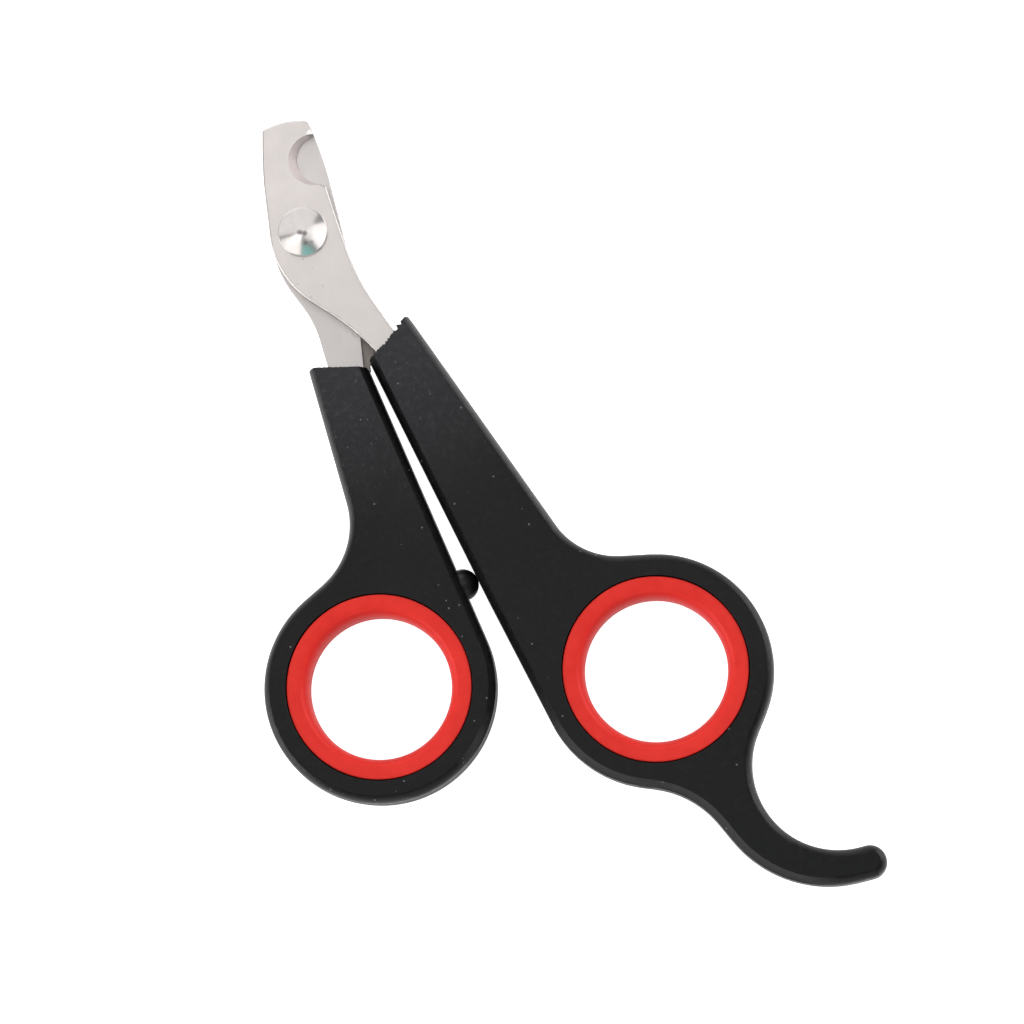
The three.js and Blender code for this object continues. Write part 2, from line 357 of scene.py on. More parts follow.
def heel(node, height, blade_outline, face):
    """The low shoulder beside a blade's tang, carried on into the blade. It stands for the shade in the
    small gap there.
    """
    outline = face_loops(node, height)[0]
    for point in outline:
        if distance_to(point, blade_outline) < TOUCHING:
            point[0] -= HEEL_OVERLAP
    low, chamfer = face + HEEL_CLEARANCE, 0.1 * MM
    stations = [(low, -chamfer), (low + chamfer, 0), (height - EDGE_BREAK, 0), (height, -EDGE_BREAK)]
    return plate("heel", outline, stations)


def tip_facet():
    """A block that grinds a small flat across a corner of the upper face."""
    bm = bmesh.new()
    bmesh.ops.create_grid(bm, x_segments=1, y_segments=1, size=FACET_SIZE / 2)
    block = bmesh.ops.extrude_face_region(bm, geom=bm.faces[:])["geom"]
    raised = [item for item in block if isinstance(item, bmesh.types.BMVert)]
    bmesh.ops.translate(bm, verts=raised, vec=(0, 0, FACET_SIZE))
    turn = Matrix.Rotation(FACET_AZIMUTH, 4, "Z") @ Matrix.Rotation(FACET_SLOPE, 4, "Y")
    bmesh.ops.transform(bm, matrix=turn @ Matrix.Translation((FACET_SIZE / 2, 0, 0)), verts=bm.verts)
    bmesh.ops.translate(bm, verts=bm.verts, vec=(*FACET_CORNER, UPPER_TOP))
    return new_piece("cutter", bm)


def blade(name, node, edge, face, cutters=(), heel_height=None):
    """A blade from its cutting face at edge to its outer face at face."""
    loops = face_loops(node, edge)
    body = plate(name, smoothed(loops[0]), bevelled(edge, face))
    low, high = min(edge, face) - MM, max(edge, face) + MM
    cutters = [notch_cone(loops[0], edge, face), *cutters]
    for hole in loops[1:]:
        x, y, radius = fitted_circle(hole)
        cutters.append(turned("cutter", [(0, low), (radius, low), (radius, high), (0, high)], (x, y), 64))
    combine(body, cutters, "DIFFERENCE")
    if heel_height:
        combine(body, [heel(node, heel_height, loops[0], face)], "UNION")
    mark_ground_faces(body, loops[0], edge)
    return body


def mark_ground_faces(piece, outline, edge):
    """The second material goes on the notch's ground bevel, the third on the heel and the tip's flat."""
    x, y, radius = notch_circle(outline)
    gauge = UPPER_TOP - SHEAR_UPPER
    for polygon in piece.data.polygons:
        reach = math.hypot(polygon.center.x - x, polygon.center.y - y)
        rise = abs(polygon.center.z - edge)
        near_notch = reach < radius + 2 * (GRIND_GROWTH + GRIND_LEAN)
        slanted = 0.15 < abs(polygon.normal.z) < 0.85
        on_grind = near_notch and slanted and rise < gauge - 1.5 * BEVEL_HEIGHT
        on_heel = polygon.normal.z > 0.9 and rise > 0.3 * MM and edge == SHEAR_LOWER
        on_facet = abs(polygon.normal.z - math.cos(FACET_SLOPE)) < 0.001
        polygon.material_index = 2 if on_heel or on_facet else int(on_grind)


# ---------------------------------------------------------------- handles

# The edge round a handle leaves the flat face at one of these slopes and ends EDGE_HEIGHT below it, where
# the drafted wall begins. It is crisp where the side faces the other handle: where the outward normal's
# share towards it is above CRISP_TO.
EDGE_SLOPE_CRISP = 1.5
EDGE_SLOPE_SOFT = 0.45
CRISP_FROM = 0.3
CRISP_TO = 0.6
EDGE_HEIGHT = 1.3 * MM
EDGE_STEPS = 12
EDGE_MARGIN = 0.12 * MM
DRAFT = 0.1 * MM

# The ridge where the mould's halves met.
PARTING = 0.035 * MM
PARTING_FOOT = 0.16 * MM
PARTING_TOP = 0.07 * MM

SLOT_GAP = 0.07 * MM

# The rib in a finger hole's pocket and the liner's groove for it: half heights at the root and the crest.
RIB_DEPTH = 0.7 * MM
RIB_HALVES = (1.2 * MM, 0.9 * MM)
GROOVE_HALVES = (1.5 * MM, 1.05 * MM)
POCKET_LIP = 0.04 * MM

# The liner's bore rolls out to the flat bands. The underside's roll is a little lower.
ROLL_DEPTH = 1.15 * MM
ROLL_LOW = 1.9 * MM
ROLL_HIGH = 2.6 * MM
ROLL_END = 84
LINER_EDGE = 0.15 * MM

# How each handle's torn end differs from the CAD's straight cut; end_cutter says what the values are.
END_TEETH = 44
BURR_WIDTH = 0.025
LONG_END = {
    "hollow": 0.25 * MM, "raggedness": 0.34 * MM, "rounding": (1.0 * MM, 0.1 * MM),
    "burrs": ((0.27, 0.45 * MM), (0.93, 0.4 * MM)), "seed": 5,
}
SHORT_END = {
    "hollow": 0.02 * MM, "raggedness": 0.06 * MM, "rounding": (0.1 * MM, 1.3 * MM),
    "burrs": ((0.62, 0.06 * MM),), "seed": 3,
}


def handle_body(name, outline, width, gap_side):
    """The handle's moulding: a crisp crease where it faces the other handle, a soft edge elsewhere.

    outline is the flat face's. width is how far the walls stand outside it. gap_side is 1 where the
    other handle lies towards +X and -1 where it lies towards -X.
    """
    heading, _ = headings(outline)
    across = gap_side * (np.sin(heading) + np.sin(np.roll(heading, 1))) / 2
    crisp = np.clip((across - CRISP_FROM) / (CRISP_TO - CRISP_FROM), 0, 1)
    slope = EDGE_SLOPE_SOFT + (EDGE_SLOPE_CRISP - EDGE_SLOPE_SOFT) * crisp
    level = np.zeros(len(outline))
    reach = width - DRAFT
    depths, distances = [level, level], [-EDGE_MARGIN, 0]
    for k in range(1, EDGE_STEPS + 1):
        t = k / EDGE_STEPS
        depths.append(2 * t * (1 - t) * slope * reach + t * t * EDGE_HEIGHT)
        distances.append(reach * (1 - (1 - t) ** 2))
    depths += [level + MID_PLANE - PARTING_FOOT, level + MID_PLANE - PARTING_TOP]
    distances += [width - PARTING, width]
    lower, upper = [], []
    for depth, distance in zip(depths, distances):
        points = outset(outline, distance)
        lower.append([(x, y, d) for (x, y), d in zip(points, depth)])
        upper.append([(x, y, HANDLE_TOP - d) for (x, y), d in zip(points, depth)])
    return loft(name, lower + upper[::-1])


def end_face(node, outline):
    """The handle's end at the blades: its direction, its outward normal, and where it lies along each."""
    heading, length = headings(outline)
    near = outline[:, 1] > outline[:, 1].max() - 4 * MM
    i = int(np.argmax(np.where(near & np.roll(near, -1), length, 0)))
    along = unit(heading[i])
    normal = np.array((along[1], -along[0]))
    vertices = np.array([v.co[:2] for v in frame["nodes"][node].data.vertices])
    across = vertices @ normal
    face = float(across.max())
    ends = np.sort(vertices[across > face - 0.01 * MM] @ along)
    return along, normal, float(ends[0]), float(ends[-1]), face


def end_cutter(node, outline, hollow, raggedness, rounding, burrs, seed):
    """A block beyond the node's end face, with a ragged front that eats a little into the face.

    hollow is how deep the front's middle goes and raggedness how far its teeth stray. rounding is the
    radius of the front's first and last corner. Each burr (share, height) stands up from the face.
    """
    along, normal, first, last, face = end_face(node, outline)
    length = last - first
    chance = np.random.default_rng(seed)
    front = []
    for t in np.linspace(0, 1, END_TEETH + 1):
        bite = hollow * (1 - (2 * t - 1) ** 2) + raggedness * chance.random() ** 2
        for share, height in burrs:
            bite -= height * max(0, 1 - abs(t - share) / BURR_WIDTH)
        bite = max(bite, 0)
        for radius, reach in zip(rounding, (t * length, (1 - t) * length)):
            if reach < radius:
                bite += radius - math.sqrt(radius**2 - (radius - reach) ** 2)
        front.append(along * (first + length * t) + normal * (face - bite))
    margin, depth = 3 * MM, 6 * MM
    corners = [front[0] - along * margin, *front, front[-1] + along * margin]
    corners += [corners[-1] + normal * depth, corners[0] + normal * depth]
    return loft("cutter", [[(x, y, z) for x, y in corners] for z in (-5 * MM, HANDLE_TOP + 5 * MM)])


def ring_facts(insert):
    """Centre, outer radius and finger hole radius of a ring insert."""
    low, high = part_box(insert)
    centre = np.array(((low.x + high.x) / 2, (low.y + high.y) / 2))
    reach = [np.hypot(*(np.array(v.co[:2]) - centre)) for v in frame["nodes"][insert].data.vertices]
    return centre, max(reach), min(reach)


def ring_pocket(node, insert):
    """A cutter for a finger hole's pocket, with a rib half way up and a slight lip at both faces."""
    centre, _, _ = ring_facts(insert)
    radius = fitted_circle(face_loops(node, 0)[1])[2]
    root, crest = RIB_HALVES
    beyond = POCKET_LIP + MM
    profile = [
        (0, -MM),
        (radius + beyond, -MM),
        (radius, POCKET_LIP),
        (radius, MID_PLANE - root),
        (radius - RIB_DEPTH, MID_PLANE - crest),
        (radius - RIB_DEPTH, MID_PLANE + crest),
        (radius, MID_PLANE + root),
        (radius, HANDLE_TOP - POCKET_LIP),
        (radius + beyond, HANDLE_TOP + MM),
        (0, HANDLE_TOP + MM),
    ]
    return turned("cutter", profile, centre)


def tang_slot(node, edge, face):
    """A cutter for the room that a blade's tang has in its handle."""
    outline = smoothed(face_loops(node, edge)[0])
    low, high = min(edge, face) - SLOT_GAP, max(edge, face) + SLOT_GAP
    return plate("cutter", outline, [(low, SLOT_GAP), (high, SLOT_GAP)])


def handle(name, node, insert, tang, gap_side, end, cutters=()):
    """A handle moulded round a tang, which is (blade node, cutting face's height, outer face's height)."""
    outline = smoothed(face_loops(node, 0)[0])
    width = float(outline[:, 0].min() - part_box(node)[0].x)
    body = handle_body(name, outline, width, gap_side)
    own_cutters = [end_cutter(node, outline, **end), ring_pocket(node, insert), tang_slot(*tang)]
    combine(body, [*own_cutters, *cutters], "DIFFERENCE")
    mark_outer_side(body, gap_side, insert)
    return body


def mark_outer_side(piece, gap_side, insert):
    """The second material, the plastic with the painted rim highlight, goes on the outer walls that face
    away from the other handle.
    """
    centre, radius, _ = ring_facts(insert)
    for polygon in piece.data.polygons:
        outward = -gap_side * polygon.normal.x > 0.12 and abs(polygon.normal.z) < 0.97
        in_pocket = math.hypot(*(np.array(polygon.center[:2]) - centre)) < radius + 0.5 * MM
        polygon.material_index = int(outward and not in_pocket)


def roll(bore, height, face, towards_middle):
    """A quarter roll from the bore out to a flat face. towards_middle is 1 for an underside, else -1."""
    last = math.radians(ROLL_END)
    points = []
    for cosine, sine in arc(12, ROLL_END):
        across = (1 - cosine) / (1 - math.cos(last))
        along = 1 - sine / math.sin(last)
        points.append((bore + ROLL_DEPTH * across, face + towards_middle * height * along))
    return points


def liner(name, node):
    """The soft ring in a finger hole: flat bands, a rolled bore and a groove for the pocket's rib."""
    centre, outer, bore = ring_facts(node)
    low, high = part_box(node)[0].z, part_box(node)[1].z
    root, crest = GROOVE_HALVES
    edge = LINER_EDGE
    profile = [
        *roll(bore, ROLL_LOW, low, 1),
        (outer - edge - FLAT_MARGIN, low),
        (outer - edge, low),
        (outer - 0.3 * edge, low + 0.3 * edge),
        (outer, low + edge),
        (outer, MID_PLANE - root),
        (outer - RIB_DEPTH, MID_PLANE - crest),
        (outer - RIB_DEPTH, MID_PLANE + crest),
        (outer, MID_PLANE + root),
        (outer, high - edge),
        (outer - 0.3 * edge, high - 0.3 * edge),
        (outer - edge, high),
        (outer - edge - FLAT_MARGIN, high),
        *reversed(roll(bore, ROLL_HIGH, high, -1)),
    ]
    return turned(name, profile, centre, 192)


# ---------------------------------------------------------------- pivot and bumper

SHANK_RADIUS = 2.0 * MM
TAIL_RADIUS = 2.8 * MM
TAIL_CORNER = 0.35 * MM
TAIL_DIMPLE = 0.12 * MM
HEAD_CHAMFER = 0.06 * MM
HEAD_CORNER = 0.12 * MM
CONE_HEIGHT = 0.42 * MM
CONE_BULGE = 0.03 * MM
CONE_RISE = 0.985
CONE_STEPS = 20
CONE_TIP = 0.5 * MM
TIP_DIP = ((0.8, 0.002 * MM), (0.5, 0.008 * MM), (0.24, 0.011 * MM), (0, 0.012 * MM))

# The button's round nose has its centre BUTTON_BACK in front of its flat back.
STEM_RADIUS = 0.9 * MM
BUTTON_BACK = 1.0 * MM
SEAT_GAP = 0.1 * MM


def rivet(name, node):
    """An upset tail, a shank, and a head with a low, slightly bulging cone and a shallow dip at its tip."""
    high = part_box(node)[1].z
    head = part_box(node)[1].x
    tail_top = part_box("pivot_washer")[0].z
    profile = [(0, TAIL_DIMPLE), (0.5 * MM, TAIL_DIMPLE), (0.9 * MM, 0), (TAIL_RADIUS - TAIL_CORNER, 0)]
    for cosine, sine in list(arc(6))[1:]:
        profile.append((TAIL_RADIUS - TAIL_CORNER * (1 - sine), TAIL_CORNER * (1 - cosine)))
    profile += [(TAIL_RADIUS, tail_top), (SHANK_RADIUS, tail_top), (SHANK_RADIUS, UPPER_TOP)]
    profile += [(head - HEAD_CHAMFER, UPPER_TOP), (head, UPPER_TOP + HEAD_CHAMFER)]
    for cosine, sine in arc(7, 78):
        radius = head - HEAD_CORNER * (1 - cosine)
        profile.append((radius, high - CONE_HEIGHT - 0.6 * HEAD_CORNER * (1 - sine)))
    start_r, start_z = profile[-1]
    for k in range(1, CONE_STEPS + 1):
        t = k / CONE_STEPS
        bulge = CONE_BULGE * math.sin(math.pi * t)
        radius = start_r + (CONE_TIP - start_r) * t
        profile.append((radius, start_z + (high - start_z) * t * CONE_RISE + bulge))
    profile += [(share * CONE_TIP, high - drop) for share, drop in TIP_DIP]
    return turned(name, profile, (0, 0), 160, 50)


def washer(name, node):
    """A stamped washer: a rounded edge below, a sharper one above."""
    low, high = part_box(node)[0].z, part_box(node)[1].z
    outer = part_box(node)[1].x
    bore = SHANK_RADIUS + 0.05 * MM
    edge, burr = 0.12 * MM, 0.05 * MM
    profile = [(bore, low), (outer - edge, low), (outer - 0.3 * edge, low + 0.3 * edge), (outer, low + edge)]
    profile += [(outer, high - burr), (outer - burr, high), (bore, high)]
    return turned(name, profile, (0, 0), 128)


def bumper(name, node, gap=0):
    """A round-nosed button with a stem, along +X. gap makes it larger all round, to cut its seat."""
    low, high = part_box(node)
    radius = (high.z - low.z) / 2
    centre = Vector((high.x - radius, (low.y + high.y) / 2, (low.z + high.z) / 2))
    length = centre.x - low.x
    back, nose, stem = -BUTTON_BACK - gap, radius + gap, STEM_RADIUS + gap
    profile = [(0, -length - gap), (stem, -length - gap), (stem, back), (nose, back)]
    profile += [(nose * cosine, nose * sine) for cosine, sine in list(arc(16))[:-1]]
    profile += [(0, nose)]
    piece = turned(name, profile, (0, 0), 72)
    piece.data.transform(Matrix.Translation(centre) @ Matrix.Rotation(math.pi / 2, 4, "Y"))
    return piece


# ---------------------------------------------------------------- materials
# Places and sizes in the node trees are in millimetres, apart from a bump's distance.

# Dents in the upper blade's face: x, y and radius.
UPPER_DENTS = ((-3.65, -6.39, 0.22), (-2.77, -8.85, 0.25), (-1.55, -3.46, 0.22), (-0.9, -5.2, 0.14))

# Worn marks on the rivet's head: x, y, radius and how dark. They lie in one plane through its cone.
RIVET_MARKS = (
    (-0.40, -0.06, 0.62, 0.85), (0.16, -0.42, 0.60, 0.85),
    (-0.23, -1.66, 0.38, 0.4), (0.60, -1.91, 0.34, 0.3),
)
RIVET_MARKS_HEIGHT = TO_MM * UPPER_TOP + 0.7


class Nodes:
    """A short way to write a node tree. A value is a number, a colour, a vector or another node's output."""

    def __init__(self, tree):
        self.tree = tree

    def add(self, kind, inputs=(), **settings):
        node = self.tree.nodes.new(kind)
        for key, value in settings.items():
            setattr(node, key, value)
        for key, value in dict(inputs).items():
            if isinstance(value, bpy.types.NodeSocket):
                self.tree.links.new(value, node.inputs[key])
            else:
                node.inputs[key].default_value = value
        return node

    def place(self, scale=(1, 1, 1)):
        """Object coordinates in millimetres, stretched by scale."""
        coordinates = self.add("ShaderNodeTexCoord").outputs["Object"]
        factor = tuple(TO_MM * s for s in scale)
        mapping = {"Vector": coordinates, "Scale": factor}
        return self.add("ShaderNodeMapping", mapping).outputs["Vector"]

    def part(self, vector, axis):
        """A vector's X, Y or Z."""
        return self.add("ShaderNodeSeparateXYZ", {"Vector": vector}).outputs[axis]

    def noise(self, place, scale, detail=3, roughness=0.55):
        values = {"Vector": place, "Scale": scale, "Detail": detail, "Roughness": roughness}
        return self.add("ShaderNodeTexNoise", values).outputs["Fac"]

    def ramp(self, value, low, high, to_low=0.0, to_high=1.0):
        """A smooth change from to_low at low to to_high at high."""
        values = {"Value": value, "From Min": low, "From Max": high, "To Min": to_low, "To Max": to_high}
        return self.add("ShaderNodeMapRange", values, interpolation_type="SMOOTHSTEP").outputs["Result"]

    def math(self, operation, a, b=0.0):
        """One arithmetic step."""
        return self.add("ShaderNodeMath", {0: a, 1: b}, operation=operation).outputs[0]

    def mix(self, factor, a, b):
        """a where factor is 0, b where it is 1. A plain colour is (red, green, blue)."""
        a, b = ((*colour, 1) if isinstance(colour, tuple) else colour for colour in (a, b))
        return self.add("ShaderNodeMix", {0: factor, 6: a, 7: b}, data_type="RGBA").outputs[2]

    def dab(self, ground, colour, cover, strength):
        """colour laid over ground, where cover times strength says."""
        return self.mix(self.math("MULTIPLY", cover, strength), ground, colour)

    def bump(self, height, strength, distance, under=None):
        values = {"Height": height, "Strength": strength, "Distance": distance}
        if under is not None:
            values["Normal"] = under
        return self.add("ShaderNodeBump", values).outputs["Normal"]

    def specks(self, place, scale, size, rarity):
        """Small scattered dots: 1 on a dot, 0 elsewhere."""
        cells = self.add("ShaderNodeTexVoronoi", {"Vector": place, "Scale": scale, "Randomness": 1.0})
        dot = self.ramp(cells.outputs["Distance"], size, size * 0.5)
        chance = self.add("ShaderNodeSeparateColor", {"Color": cells.outputs["Color"]}).outputs["Red"]
        return self.math("MULTIPLY", dot, self.math("GREATER_THAN", chance, rarity))

    def spot(self, place, centre, radius, core):
        """One soft dot at a point: 1 within core times the radius, 0 beyond the radius."""
        offset = self.add("ShaderNodeVectorMath", {0: place, 1: centre}, operation="DISTANCE")
        return self.ramp(offset.outputs["Value"], radius, core * radius)

    def upright(self):
        """How far the surface faces up or down: 1 on the flat faces, 0 on the walls."""
        normal = self.add("ShaderNodeNewGeometry").outputs["True Normal"]
        return self.math("ABSOLUTE", self.part(normal, "Z"))


def new_material(name):
    material = bpy.data.materials.new(name)
    material.use_nodes = True
    nodes = Nodes(material.node_tree)
    shader = material.node_tree.nodes["Principled BSDF"]
    return material, nodes, shader


def link(nodes, shader, **sockets):
    """Links outputs to the shader's inputs, named with _ for a space."""
    for key, value in sockets.items():
        nodes.tree.links.new(value, shader.inputs[key.replace("_", " ")])


def toned(colour, factor):
    """The colour, darker if factor is below 1."""
    return tuple(factor * part for part in colour)


def handle_plastic(name, painted_rim_highlight=False):
    """Black moulded plastic: fine grain, scuffs, dust, and a painted sheen that makes the flat faces paler
    towards the blades.

    painted_rim_highlight adds a painted highlight: a paler rim where the flat faces roll over into the
    walls.
    """
    material, nodes, shader = new_material(name)
    place = nodes.place()
    along = nodes.part(place, "Y")
    cloud = nodes.noise(place, 0.08, 4)
    grain = nodes.noise(place, 4.2, 3, 0.65)
    pits = nodes.noise(place, 1.3, 3, 0.5)

    # Painted sheen: the flat faces get paler towards the blades. The same mask sets how strongly the specks,
    # flecks and fine dust show.
    painted_sheen_and_dust = nodes.ramp(nodes.math("ADD", along, nodes.math("MULTIPLY", cloud, 8.0)), -43.0, -13.0)
    painted_sheen_and_dust = nodes.math("MULTIPLY", painted_sheen_and_dust, nodes.ramp(nodes.upright(), 0.80, 0.97))
    colour = nodes.mix(nodes.ramp(cloud, 0.35, 0.65), (0.0026, 0.0024, 0.0030), (0.0040, 0.0038, 0.0045))
    colour = nodes.mix(painted_sheen_and_dust, colour, (0.027, 0.026, 0.030))

    scuffs = nodes.ramp(nodes.noise(place, 1.1, 5, 0.75), 0.45, 0.75, 0, 0.6)
    sand = nodes.ramp(grain, 0.52, 0.80, 0, 0.6)
    speckle = nodes.math("MAXIMUM", sand, scuffs)
    colour = nodes.dab(colour, (0.062, 0.061, 0.066), speckle, nodes.ramp(painted_sheen_and_dust, 0.0, 1.0, 0.12, 1.0))
    if painted_rim_highlight:
        # Painted highlight: the rounded edges next to the flat faces are paler, most of all towards the
        # blades.
        middle = TO_MM * MID_PLANE
        from_middle = nodes.math("ABSOLUTE", nodes.math("SUBTRACT", nodes.part(place, "Z"), middle))
        rim = nodes.ramp(from_middle, middle - 2.2, middle - 1.3)
        rim = nodes.math("MULTIPLY", rim, nodes.ramp(nodes.upright(), 0.93, 0.50))
        colour = nodes.dab(colour, (0.10, 0.10, 0.102), rim, nodes.ramp(along, -62.0, -48.0, 0.35, 1.0))

    flecks = nodes.math("MULTIPLY", nodes.specks(nodes.place((1, 0.5, 1)), 1.2, 0.17, 0.62), painted_sheen_and_dust)
    dust = nodes.specks(place, 0.6, 0.10, 0.55)
    fine_dust = nodes.specks(place, 1.5, 0.14, 0.72)
    colour = nodes.dab(colour, (0.16, 0.16, 0.165), flecks, 0.5)
    colour = nodes.dab(colour, (0.22, 0.22, 0.22), dust, 0.7)
    colour = nodes.dab(colour, (0.12, 0.12, 0.125), fine_dust, nodes.ramp(painted_sheen_and_dust, 0.0, 1.0, 0.12, 0.6))

    rough = nodes.ramp(pits, 0.3, 0.7, 0.32, 0.42)
    normal = nodes.bump(grain, 0.7, 0.03 * MM, nodes.bump(pits, 0.25, 0.08 * MM))
    link(nodes, shader, Base_Color=colour, Roughness=rough, Normal=normal)
    shader.inputs["Specular IOR Level"].default_value = 0.25
    return material


def soft_rubber(name, dark, light, specular, rough_low, rough_high):
    """Soft rubber: a faint cloud from dark to light, a little dust, and painted shade: deeper colour on the
    walls.
    """
    material, nodes, shader = new_material(name)
    place = nodes.place()
    grain = nodes.noise(place, 4.0, 3)
    colour = nodes.mix(nodes.ramp(nodes.noise(place, 0.35, 4), 0.3, 0.7), dark, light)
    colour = nodes.dab(colour, (0.8, 0.6, 0.5), nodes.specks(place, 0.5, 0.05, 0.7), 0.35)
    # Painted shade: the walls and the bore's roll take a deeper colour.
    deep = (0.88 * dark[0], 0.75 * dark[1], 0.75 * dark[2])
    colour = nodes.mix(nodes.ramp(nodes.upright(), 0.92, 0.45), colour, deep)
    rough = nodes.ramp(grain, 0.3, 0.7, rough_low, rough_high)
    normal = nodes.bump(grain, 0.25, 0.02 * MM)
    link(nodes, shader, Base_Color=colour, Roughness=rough, Normal=normal)
    shader.inputs["Specular IOR Level"].default_value = specular
    return material


def blade_steel(name, bright, heading, dents=(), roughness=0.30, painted_wall_shade=0.65):
    """Satin ground steel with fine grinding lines that run across the blade, and a few small dents.

    dulling is how far painted shade darkens the sheared walls and the bevels. The steel is a little darker
    towards the handles.
    """
    material, nodes, shader = new_material(name)
    coordinates = nodes.add("ShaderNodeTexCoord").outputs["Object"]
    turned_place = nodes.add("ShaderNodeMapping", {"Vector": coordinates, "Rotation": (0, 0, heading)})
    stretch = {"Vector": turned_place.outputs["Vector"], "Scale": (TO_MM, 0.06 * TO_MM, TO_MM)}
    lines = nodes.noise(nodes.add("ShaderNodeMapping", stretch).outputs["Vector"], 7.0, 4, 0.6)
    place = nodes.place()
    dull = toned(bright, 0.94)
    colour = nodes.mix(nodes.ramp(nodes.noise(place, 0.22, 3), 0.35, 0.7), dull, bright)
    colour = nodes.mix(nodes.ramp(lines, 0.4, 0.7, 0, 0.25), colour, dull)
    colour = nodes.dab(colour, (0.35, 0.32, 0.30), nodes.specks(place, 0.33, 0.07, 0.75), 0.35)
    for x, y, size in dents:
        dent = nodes.spot(place, (x, y, TO_MM * UPPER_TOP), size, 0.3)
        colour = nodes.dab(colour, (0.30, 0.27, 0.26), dent, 0.45)
    shaded = nodes.mix(0.5, colour, toned(bright, 0.8))
    colour = nodes.mix(nodes.ramp(nodes.part(place, "Y"), 8.0, -16.0), colour, shaded)
    # Painted shade: the walls and the bevels' steeper slopes are darker.
    walls = nodes.ramp(nodes.upright(), 0.99, 0.85, 0, painted_wall_shade)
    colour = nodes.mix(walls, colour, toned(bright, 0.45))
    rough = nodes.ramp(lines, 0.3, 0.7, roughness, roughness + 0.10)
    normal = nodes.bump(lines, 0.12, 0.01 * MM)
    link(nodes, shader, Base_Color=colour, Roughness=rough, Normal=normal)
    shader.inputs["Metallic"].default_value = 1.0
    return material


def polished_steel():
    """Turned and polished: fine rings round the pivot's axis, and a few worn marks."""
    material, nodes, shader = new_material("polished_steel")
    place = nodes.place()
    squares = [nodes.math("MULTIPLY", nodes.part(place, axis), nodes.part(place, axis)) for axis in "XY"]
    radius = nodes.math("SQRT", nodes.math("ADD", *squares))
    values = {"W": radius, "Scale": 9.0, "Detail": 3.0}
    rings = nodes.add("ShaderNodeTexNoise", values, noise_dimensions="1D").outputs["Fac"]
    cloud = nodes.ramp(nodes.noise(place, 0.9, 3), 0.3, 0.7)
    colour = nodes.mix(cloud, (0.74, 0.71, 0.695), (0.78, 0.75, 0.735))
    for x, y, size, depth in RIVET_MARKS:
        mark = nodes.spot(place, (x, y, RIVET_MARKS_HEIGHT), size, 0.35)
        colour = nodes.dab(colour, (0.13, 0.11, 0.125), mark, depth)
    rough = nodes.ramp(rings, 0.3, 0.7, 0.10, 0.17)
    normal = nodes.bump(rings, 0.06, 0.01 * MM)
    link(nodes, shader, Base_Color=colour, Roughness=rough, Normal=normal)
    shader.inputs["Metallic"].default_value = 1.0
    return material


# ---------------------------------------------------------------- stage, camera and light

# The picture's middle, and how the object's long axis leans in the picture.
AIM = Vector((0.00997, -0.04857, 0.007))
LEAN = math.radians(-25.0)

CAMERA_TILT = math.radians(8.5)
CAMERA_DISTANCE = 0.56
FOCAL_LENGTH = 143.05
SENSOR_WIDTH = 36.0

FLOOR_HALF = 1.5
FLOOR_DROP = 0.02 * MM


def camera():
    """Nearly from above, tilted a little towards -Y."""
    data = bpy.data.cameras.new("camera")
    data.lens = FOCAL_LENGTH
    data.sensor_width = SENSOR_WIDTH
    turn = Matrix.Rotation(CAMERA_TILT, 4, "X") @ Matrix.Rotation(LEAN, 4, "Z")
    place = AIM + turn @ Vector((0, 0, CAMERA_DISTANCE))
    item = bpy.data.objects.new("camera", data)
    item.matrix_world = Matrix.Translation(place) @ turn
    bpy.context.scene.collection.objects.link(item)
    bpy.context.scene.camera = item


def floor():
    """A white table. It glows to camera rays, so that it shows no shadow, and weakly to glossy rays."""
    material, nodes, shader = new_material("floor")
    cloud = nodes.noise(nodes.place(), 0.01, 3)
    base = nodes.mix(nodes.ramp(cloud, 0.3, 0.7), (0.93, 0.93, 0.93), (0.95, 0.95, 0.95))
    rays = nodes.add("ShaderNodeLightPath").outputs
    glow = nodes.math("MAXIMUM", rays["Is Camera Ray"], nodes.math("MULTIPLY", rays["Is Glossy Ray"], 0.55))
    link(nodes, shader, Base_Color=base, Emission_Strength=glow)
    shader.inputs["Roughness"].default_value = 0.9
    shader.inputs["Specular IOR Level"].default_value = 0.1
    shader.inputs["Emission Color"].default_value = (1, 1, 1, 1)
    bm = bmesh.new()
    bmesh.ops.create_grid(bm, x_segments=4, y_segments=4, size=FLOOR_HALF)
    item = new_piece("floor", bm)
    item.location.z = -FLOOR_DROP
    item.data.materials.append(material)


def world():
    """A dim room with a bright wall all round, just over the table."""
    data = bpy.data.worlds.new("studio")
    bpy.context.scene.world = data
    data.use_nodes = True
    nodes = Nodes(data.node_tree)
    direction = nodes.add("ShaderNodeTexCoord").outputs["Generated"]
    glow = nodes.ramp(nodes.part(direction, "Z"), 0.35, 0.03, 0.24, 1.6)
    background = data.node_tree.nodes["Background"]
    background.inputs["Color"].default_value = (0.99, 0.99, 1, 1)
    data.node_tree.links.new(glow, background.inputs["Strength"])


def softbox(name, across, up, size, radiance, tint=(1, 1, 1), height=1.0, aimed=False):
    """An area light over the pivot. across and up are measured in the picture, for a height of 1 m.

    It faces straight down, or the pivot if it is aimed.
    """
    data = bpy.data.lights.new(name, "AREA")
    data.shape = "RECTANGLE"
    data.size, data.size_y = (height * side for side in size)
    data.energy = radiance * math.pi * data.size * data.size_y
    data.color = tint
    item = bpy.data.objects.new(name, data)
    turn = Matrix.Rotation(LEAN, 4, "Z")
    place = turn @ Vector((across, up, 1)) * height
    facing = place.to_track_quat("Z", "Y").to_matrix().to_4x4() if aimed else turn
    item.matrix_world = Matrix.Translation(place) @ facing
    bpy.context.scene.collection.objects.link(item)


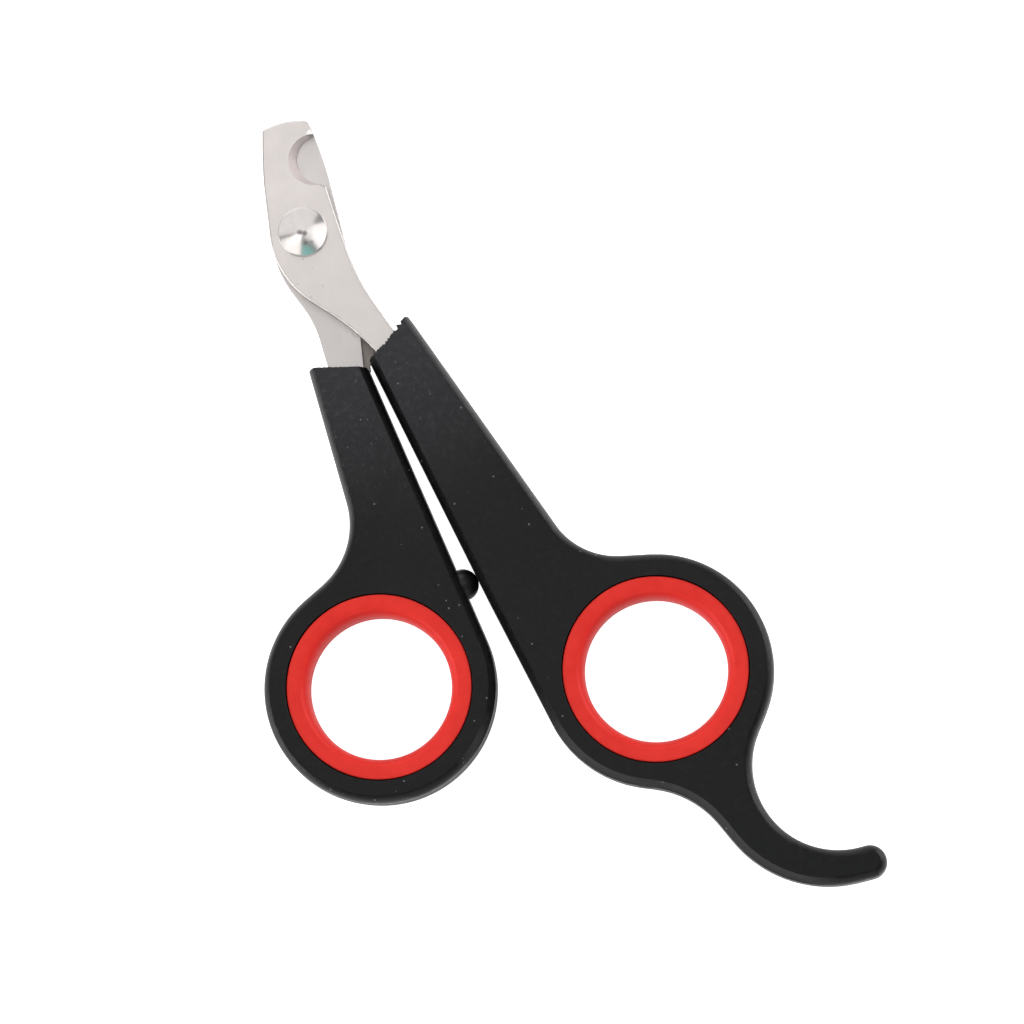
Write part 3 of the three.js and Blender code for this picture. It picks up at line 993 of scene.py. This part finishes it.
def lights():
    """The blades mirror the overhead pair and the rivet's cone the glints. The sides light the rims."""
    softbox("overhead", -0.115, 0.415, (0.49, 0.87), 0.72, (1, 0.985, 0.975))
    softbox("overhead_left", -0.555, 0.50, (0.38, 0.70), 0.72, (1, 0.985, 0.975))
    softbox("glint_right", 0.29, 0.125, (0.32, 0.49), 1.2)
    softbox("glint_left", -0.32, -0.08, (0.36, 0.34), 1.12, (1, 0.965, 0.94), 0.98)
    softbox("glint_low", -0.01, -0.25, (0.20, 0.29), 0.40, (0.02, 1, 0.86))
    softbox("left", -2.75, -1.25, (2.6, 1.5), 4.3, (1, 0.99, 0.98), 0.46, aimed=True)
    softbox("right", 2.65, 1.50, (2.4, 1.4), 4.1, (1, 1, 1), 0.46, aimed=True)
    softbox("front", 0.35, -1.70, (1.6, 1.0), 0.95, (1, 0.99, 0.98), 0.75, aimed=True)
    softbox("back", -0.60, 1.70, (1.6, 1.0), 1.7, (0.98, 0.99, 1), 0.75, aimed=True)


# ---------------------------------------------------------------- assembly

def build_blades(polished):
    upper = blade("blade_upper", "upper_blade", SHEAR_UPPER, UPPER_TOP, [tip_facet()])
    lower = blade(
        "blade_lower", "lower_blade", SHEAR_LOWER, LOWER_BOTTOM, heel_height=LOWER_BOTTOM + HEEL_HEIGHT,
    )
    upper_steel = blade_steel("upper_steel", (0.815, 0.765, 0.745), 0.25, UPPER_DENTS)
    lower_steel = blade_steel("lower_steel", (0.82, 0.775, 0.76), -0.1, roughness=0.40)
    notch_steel = blade_steel("notch_steel", (0.86, 0.785, 0.775), 0.9, roughness=0.72, painted_wall_shade=0.35)
    # The heel's dark steel is painted shade.
    painted_shade_heel_steel = blade_steel("painted_shade_heel_steel", (0.43, 0.385, 0.365), 0.9, roughness=0.5)
    placed(upper, "long_half", "upper_blade", "blade_steel", upper_steel, notch_steel, polished)
    placed(lower, "short_half", "lower_blade", "blade_steel", lower_steel, notch_steel, painted_shade_heel_steel)


def build_handles():
    black = handle_plastic("handle_plastic")
    # worn is the plastic with the painted rim highlight, for the outer walls.
    worn = handle_plastic("handle_plastic_rim_highlight", painted_rim_highlight=True)
    long_tang = ("upper_blade", SHEAR_UPPER, UPPER_TOP)
    short_tang = ("lower_blade", SHEAR_LOWER, LOWER_BOTTOM)
    seat = bumper("cutter", "bumper", SEAT_GAP)
    long_grip = handle("grip_long", "long_handle", "long_ring_insert", long_tang, -1, LONG_END)
    short_grip = handle("grip_short", "short_handle", "short_ring_insert", short_tang, 1, SHORT_END, [seat])
    placed(long_grip, "long_half", "long_handle", "handle_plastic", black, worn)
    placed(short_grip, "short_half", "short_handle", "handle_plastic", black, worn)


def build_soft_parts():
    red = soft_rubber("red_rubber", (0.84, 0.027, 0.019), (0.90, 0.034, 0.024), 0.25, 0.42, 0.52)
    black = soft_rubber("black_rubber", (0.005, 0.005, 0.006), (0.008, 0.008, 0.009), 0.4, 0.35, 0.45)
    placed(liner("liner_long", "long_ring_insert"), "long_half", "long_ring_insert", "red_rubber", red)
    placed(liner("liner_short", "short_ring_insert"), "short_half", "short_ring_insert", "red_rubber", red)
    placed(bumper("stop_button", "bumper"), "short_half", "bumper", "black_rubber", black)


def build():
    polished = polished_steel()
    build_blades(polished)
    placed(rivet("rivet", "pivot_rivet"), "long_half", "pivot_rivet", "polished_steel", polished)
    placed(washer("washer", "pivot_washer"), "long_half", "pivot_washer", "polished_steel", polished)
    build_handles()
    build_soft_parts()


camera()
floor()
world()
lights()
bpy.context.scene.view_settings.view_transform = "Standard"
build()
